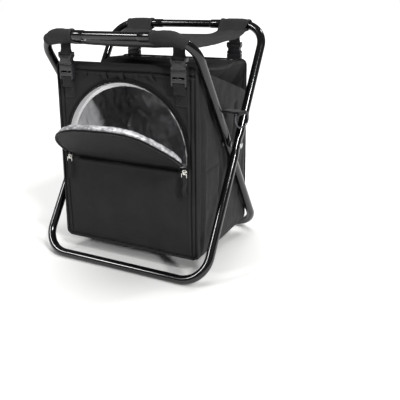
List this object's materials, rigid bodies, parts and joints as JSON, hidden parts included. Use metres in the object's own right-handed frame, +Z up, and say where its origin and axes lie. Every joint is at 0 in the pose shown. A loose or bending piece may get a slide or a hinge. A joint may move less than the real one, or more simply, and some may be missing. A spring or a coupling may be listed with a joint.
{
  "type": "folding cooler stool",
  "caption": "Folding stool whose crossed tube frame holds a soft cooler bag under a sagging fabric seat; the bag has a round-topped zip door and clips off its straps.",
  "frame": {"origin": "on the floor, under the middle of the line through the two pivot rivets", "axes": "+Z up; the bag's door faces -Y; +X is to the right of someone facing the door; units are metres"},
  "size_m": [0.3688, 0.3603, 0.411],
  "materials": {
    "black_tube": "glossy black paint",
    "bare_steel": "polished",
    "ring_metal": "dark plated wire",
    "bag_fabric": "coated polyester weave",
    "webbing": "ribbed woven strap",
    "buckle_plastic": "satin",
    "foam": "closed-cell foam",
    "silver_film": "metallised film",
    "zip_tape": "woven tape"
  },
  "bodies": {
    "inner_frame": {"inner_loop_tube": "black_tube", "inner_grip_tube": "black_tube", "pivot_rivet_right": "bare_steel", "pivot_rivet_left": "bare_steel", "pivot_spacer_right": "bare_steel", "pivot_spacer_left": "bare_steel", "seat_sling": "bag_fabric"},
    "outer_frame": {"outer_loop_tube": "black_tube", "outer_grip_tube": "black_tube"},
    "bag_front": {"front_panel": "bag_fabric", "front_foam": "foam", "front_piping": "bag_fabric", "bag_zip_tape": "zip_tape", "door_hinge_binding": "bag_fabric", "right_gusset": "bag_fabric", "left_gusset": "bag_fabric", "right_foam": "foam", "left_foam": "foam", "top_panel": "bag_fabric", "top_foam": "foam", "bottom_panel": "bag_fabric", "bottom_foam": "foam", "liner": "silver_film", "upper_strap_front_left": "webbing", "buckle_prongs_front_left": "buckle_plastic", "lower_webbing_front_left": "webbing", "upper_strap_front_right": "webbing", "buckle_prongs_front_right": "buckle_plastic", "lower_webbing_front_right": "webbing"},
    "bag_rear": {"rear_panel": "bag_fabric", "rear_foam": "foam", "rear_piping": "bag_fabric", "upper_strap_rear_left": "webbing", "buckle_prongs_rear_left": "buckle_plastic", "lower_webbing_rear_left": "webbing", "upper_strap_rear_right": "webbing", "buckle_prongs_rear_right": "buckle_plastic", "lower_webbing_rear_right": "webbing"},
    "side_tabs": {"ring_tab_right": "webbing", "ring_tab_left": "webbing"},
    "right_ring": {"d_ring_right": "ring_metal"},
    "left_ring": {"d_ring_left": "ring_metal"},
    "door": {"door_panel": "bag_fabric", "door_foam": "foam", "door_liner": "silver_film", "door_zip_tape": "zip_tape"},
    "right_slider": {"zip_slider_right": "bare_steel"},
    "left_slider": {"zip_slider_left": "bare_steel"},
    "right_pull": {"pull_loop_right": "bare_steel", "pull_tab_right": "webbing"},
    "left_pull": {"pull_loop_left": "bare_steel", "pull_tab_left": "webbing"},
    "front_left_socket": {"buckle_socket_front_left": "buckle_plastic"},
    "front_right_socket": {"buckle_socket_front_right": "buckle_plastic"},
    "rear_left_socket": {"buckle_socket_rear_left": "buckle_plastic"},
    "rear_right_socket": {"buckle_socket_rear_right": "buckle_plastic"}
  },
  "joints": [
    {"name": "frame_fold", "type": "hinge", "parent": "inner_frame", "child": "outer_frame", "pos_m": [0, 0, 0.20734], "axis": [1, 0, 0], "range_deg": [0, 63], "deforming": ["seat_sling"]},
    {"name": "bag_hang", "type": "hinge", "parent": "inner_frame", "child": "bag_front", "pos_m": [0, -0.1095, 0.386], "axis": [1, 0, 0], "range_deg": [0, 34.82]},
    {"name": "bag_collapse", "type": "slide", "parent": "bag_front", "child": "bag_rear", "axis": [0, -0.9985, 0.054], "range_m": [0, 0.18527], "deforming": ["right_gusset", "left_gusset", "right_foam", "left_foam", "top_panel", "top_foam", "bottom_panel", "bottom_foam", "liner"]},
    {"name": "tabs_follow", "type": "slide", "parent": "bag_front", "child": "side_tabs", "axis": [0, -0.9985, 0.054], "range_m": [0, 0.09264], "deforming": ["ring_tab_right", "ring_tab_left"]},
    {"name": "right_ring_swing", "type": "hinge", "parent": "side_tabs", "child": "right_ring", "pos_m": [0.17677, -0.02227, 0.26845], "axis": [-0.4226, -0.9063, 0], "range_deg": [0, 90]},
    {"name": "left_ring_swing", "type": "hinge", "parent": "side_tabs", "child": "left_ring", "pos_m": [-0.17677, -0.02227, 0.26845], "axis": [-0.4226, 0.9063, 0], "range_deg": [0, 90]},
    {"name": "door_hinge", "type": "hinge", "parent": "bag_front", "child": "door", "pos_m": [0, -0.1034, 0.188], "axis": [1, 0, 0], "range_deg": [-55, 55]},
    {"name": "right_zip", "type": "hinge", "parent": "bag_front", "child": "right_slider", "pos_m": [0, -0.1034, 0.205], "axis": [0, -1, 0], "range_deg": [0, 97.5]},
    {"name": "left_zip", "type": "hinge", "parent": "bag_front", "child": "left_slider", "pos_m": [0, -0.1034, 0.205], "axis": [0, 1, 0], "range_deg": [0, 97.5]},
    {"name": "right_pull_swing", "type": "hinge", "parent": "right_slider", "child": "right_pull", "pos_m": [0.11413, -0.1108, 0.1814], "axis": [-1, 0, 0], "range_deg": [0, 60]},
    {"name": "left_pull_swing", "type": "hinge", "parent": "left_slider", "child": "left_pull", "pos_m": [-0.11413, -0.1108, 0.1814], "axis": [-1, 0, 0], "range_deg": [0, 60]},
    {"name": "front_left_release", "type": "slide", "parent": "bag_front", "child": "front_left_socket", "axis": [0, 0, 1], "range_m": [0, 0.0125], "deforming": ["upper_strap_front_left"]},
    {"name": "front_right_release", "type": "slide", "parent": "bag_front", "child": "front_right_socket", "axis": [0, 0, 1], "range_m": [0, 0.0125], "deforming": ["upper_strap_front_right"]},
    {"name": "rear_left_release", "type": "slide", "parent": "bag_rear", "child": "rear_left_socket", "axis": [0, 0, 1], "range_m": [0, 0.0125], "deforming": ["upper_strap_rear_left"]},
    {"name": "rear_right_release", "type": "slide", "parent": "bag_rear", "child": "rear_right_socket", "axis": [0, 0, 1], "range_m": [0, 0.0125], "deforming": ["upper_strap_rear_right"]}
  ],
  "couplings": [
    {"joint": "bag_hang", "follows": "frame_fold", "ratio": 0.5527},
    {"joint": "bag_collapse", "follows": "frame_fold", "m_per_rad": 0.16849},
    {"joint": "tabs_follow", "follows": "frame_fold", "m_per_rad": 0.08424}
  ]
}
